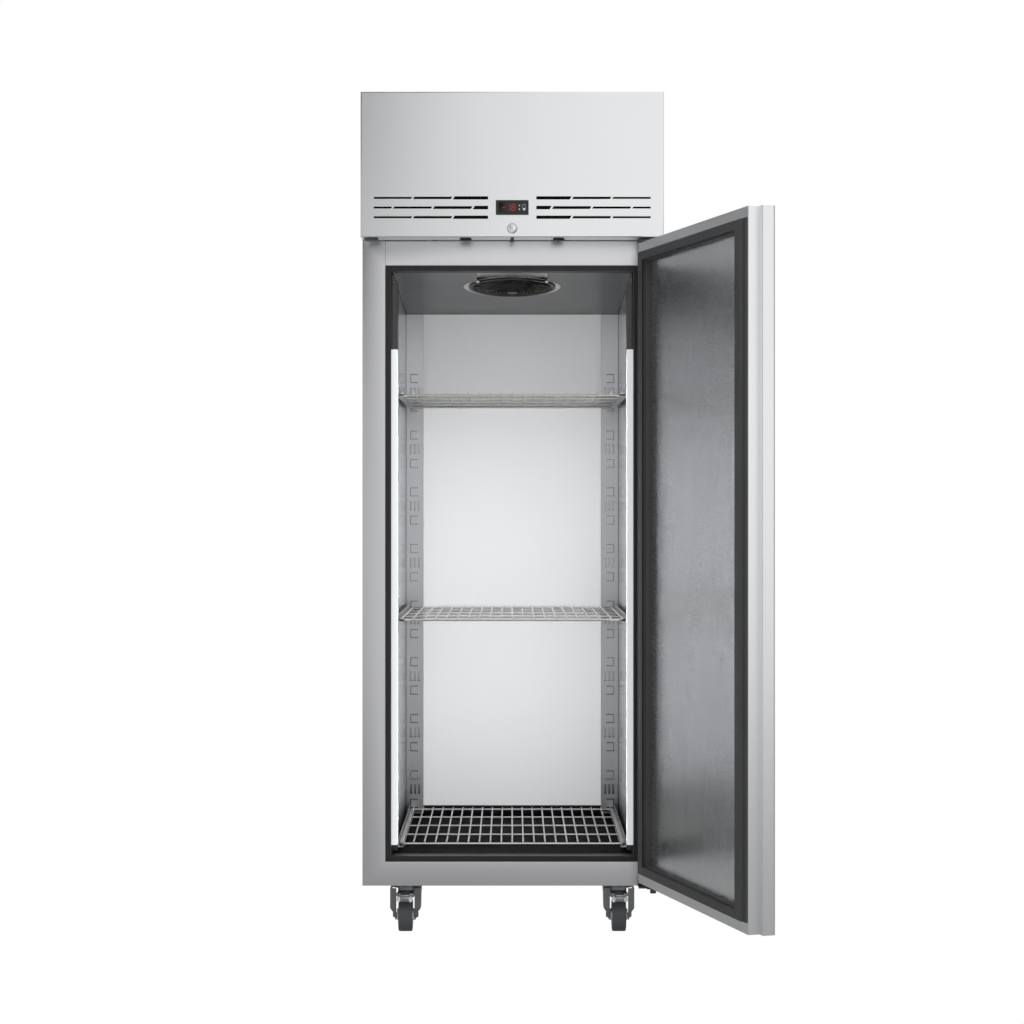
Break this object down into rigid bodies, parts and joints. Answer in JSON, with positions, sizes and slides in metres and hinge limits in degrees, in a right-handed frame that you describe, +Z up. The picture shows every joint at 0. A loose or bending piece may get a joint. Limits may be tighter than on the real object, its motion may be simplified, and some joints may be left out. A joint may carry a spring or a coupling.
{
  "type": "upright freezer",
  "caption": "Stainless upright freezer on castors: hinged insulated door, wire shelves on racks, LED bars, ceiling fan, and a lift-up machine compartment front with controller and lock.",
  "frame": {"origin": "on the floor, under the middle of the bounding box of the whole object with its door open", "axes": "+X to the right seen from the front, +Y to the back, +Z up"},
  "size_m": [0.8852, 1.4616, 1.967],
  "materials": {
    "steel_brushed": "satin",
    "foam": "matte",
    "steel_liner": "satin",
    "black_plastic": "satin",
    "zinc": "satin",
    "aluminium": "satin",
    "light": "satin",
    "white_plastic": "satin",
    "galvanised": "matte",
    "compressor_paint": "satin",
    "copper": "satin",
    "steel_bright": "polished",
    "filter_fibre": "matte",
    "black_rubber": "matte",
    "bronze_bush": "satin",
    "grey_key": "gloss",
    "wheel_rubber": "matte"
  },
  "bodies": {
    "cabinet": {"outer_casing": "steel_brushed", "front_frame": "steel_brushed", "insulation_foam": "foam", "inner_liner": "steel_liner", "breaker_frame": "black_plastic", "castor_plates": "zinc", "rear_air_panel": "steel_liner", "rear_racks": "steel_liner", "front_racks": "steel_liner", "led_housings": "aluminium", "led_diffusers": "light", "shelf_runners": "steel_brushed", "evaporator_cover": "steel_liner", "fan_ring": "steel_liner", "fan_guard": "black_plastic", "evaporator_fan_motor": "black_plastic", "evaporator_coil": "aluminium", "evaporator_housing": "white_plastic", "condensate_tray": "galvanised", "compressor": "compressor_paint", "condenser_coil": "aluminium", "condenser_shroud": "galvanised", "condenser_fan_motor": "black_plastic", "refrigerant_pipes": "copper", "electrical_box": "white_plastic", "machine_housing": "steel_brushed", "rear_grille": "galvanised", "mains_gland": "black_plastic", "upper_hinge_bracket": "steel_bright", "lower_hinge_bracket": "steel_bright", "hinge_screws": "steel_bright"},
    "door": {"door_outer_skin": "steel_brushed", "door_foam": "foam", "door_inner_panel": "steel_liner", "door_gasket": "black_rubber", "hinge_bushes": "bronze_bush"},
    "fascia": {"front_fascia": "steel_brushed", "controller_housing": "black_plastic", "dust_filter": "filter_fibre", "thumb_screws": "black_plastic", "hinge_hole_plug": "black_plastic"},
    "lock": {"lock_cylinder": "steel_bright"},
    "bolt": {"lock_bolt": "steel_bright"},
    "key_left": {"controller_key_left": "grey_key"},
    "key_right": {"controller_key_right": "grey_key"},
    "evaporator_fan": {"evaporator_fan_blade": "black_plastic"},
    "condenser_fan": {"condenser_fan_blade": "aluminium"},
    "top_shelf": {"shelf_top": "steel_bright"},
    "middle_shelf": {"shelf_middle": "steel_bright"},
    "bottom_shelf": {"shelf_bottom": "steel_bright"},
    "fork_front_left": {"castor_fork_front_left": "zinc"},
    "wheel_front_left": {"castor_wheel_front_left": "wheel_rubber"},
    "pedal_front_left": {"brake_pedal_front_left": "zinc"},
    "fork_front_right": {"castor_fork_front_right": "zinc"},
    "wheel_front_right": {"castor_wheel_front_right": "wheel_rubber"},
    "pedal_front_right": {"brake_pedal_front_right": "zinc"},
    "fork_back_left": {"castor_fork_back_left": "zinc"},
    "wheel_back_left": {"castor_wheel_back_left": "wheel_rubber"},
    "fork_back_right": {"castor_fork_back_right": "zinc"},
    "wheel_back_right": {"castor_wheel_back_right": "wheel_rubber"}
  },
  "joints": [
    {"name": "door_hinge", "type": "hinge", "parent": "cabinet", "child": "door", "pos_m": [0.23392, -0.0812, 0.1365], "axis": [0, 0, 1], "range_deg": [-106, 14]},
    {"name": "fascia_hinge", "type": "hinge", "parent": "cabinet", "child": "fascia", "pos_m": [-0.09258, -0.0462, 1.962], "axis": [-1, 0, 0], "range_deg": [0, 80]},
    {"name": "lock_turn", "type": "hinge", "parent": "fascia", "child": "lock", "pos_m": [-0.09258, -0.1092, 1.6513], "axis": [0, 1, 0], "range_deg": [0, 90]},
    {"name": "bolt_slide", "type": "slide", "parent": "fascia", "child": "bolt", "axis": [0, 0, -1], "range_m": [0, 0.014]},
    {"name": "evaporator_fan_spin", "type": "hinge", "parent": "cabinet", "child": "evaporator_fan", "pos_m": [-0.09258, 0.2058, 1.54717], "axis": [0, 0.1045, 0.9945], "continuous": true},
    {"name": "condenser_fan_spin", "type": "hinge", "parent": "cabinet", "child": "condenser_fan", "pos_m": [-0.09258, 0.0208, 1.775], "axis": [0, 1, 0], "continuous": true},
    {"name": "key_left_press", "type": "slide", "parent": "fascia", "child": "key_left", "axis": [0, 1, 0], "range_m": [0, 0.0008], "stiffness_N_per_m": 300},
    {"name": "key_right_press", "type": "slide", "parent": "fascia", "child": "key_right", "axis": [0, 1, 0], "range_m": [0, 0.0008], "stiffness_N_per_m": 300},
    {"name": "top_shelf_slide", "type": "slide", "parent": "cabinet", "child": "top_shelf", "axis": [0, -1, 0], "range_m": [0, 0.4]},
    {"name": "middle_shelf_slide", "type": "slide", "parent": "cabinet", "child": "middle_shelf", "axis": [0, -1, 0], "range_m": [0, 0.4]},
    {"name": "bottom_shelf_slide", "type": "slide", "parent": "cabinet", "child": "bottom_shelf", "axis": [0, -1, 0], "range_m": [0, 0.4]},
    {"name": "swivel_front_left", "type": "hinge", "parent": "cabinet", "child": "fork_front_left", "pos_m": [-0.34608, 0.0828, 0.124], "axis": [0, 0, 1], "continuous": true},
    {"name": "roll_front_left", "type": "hinge", "parent": "fork_front_left", "child": "wheel_front_left", "pos_m": [-0.34608, 0.0608, 0.04], "axis": [1, 0, 0], "continuous": true},
    {"name": "brake_front_left", "type": "hinge", "parent": "fork_front_left", "child": "pedal_front_left", "pos_m": [-0.34608, 0.0528, 0.088], "axis": [1, 0, 0], "range_deg": [0, 12]},
    {"name": "swivel_front_right", "type": "hinge", "parent": "cabinet", "child": "fork_front_right", "pos_m": [0.16092, 0.0828, 0.124], "axis": [0, 0, 1], "continuous": true},
    {"name": "roll_front_right", "type": "hinge", "parent": "fork_front_right", "child": "wheel_front_right", "pos_m": [0.16092, 0.0608, 0.04], "axis": [1, 0, 0], "continuous": true},
    {"name": "brake_front_right", "type": "hinge", "parent": "fork_front_right", "child": "pedal_front_right", "pos_m": [0.16092, 0.0528, 0.088], "axis": [1, 0, 0], "range_deg": [0, 12]},
    {"name": "swivel_back_left", "type": "hinge", "parent": "cabinet", "child": "fork_back_left", "pos_m": [-0.34608, 0.6208, 0.124], "axis": [0, 0, 1], "continuous": true},
    {"name": "roll_back_left", "type": "hinge", "parent": "fork_back_left", "child": "wheel_back_left", "pos_m": [-0.34608, 0.5988, 0.04], "axis": [1, 0, 0], "continuous": true},
    {"name": "swivel_back_right", "type": "hinge", "parent": "cabinet", "child": "fork_back_right", "pos_m": [0.16092, 0.6208, 0.124], "axis": [0, 0, 1], "continuous": true},
    {"name": "roll_back_right", "type": "hinge", "parent": "fork_back_right", "child": "wheel_back_right", "pos_m": [0.16092, 0.5988, 0.04], "axis": [1, 0, 0], "continuous": true}
  ],
  "couplings": [
    {"joint": "bolt_slide", "follows": "lock_turn", "m_per_rad": 0.0089127}
  ]
}
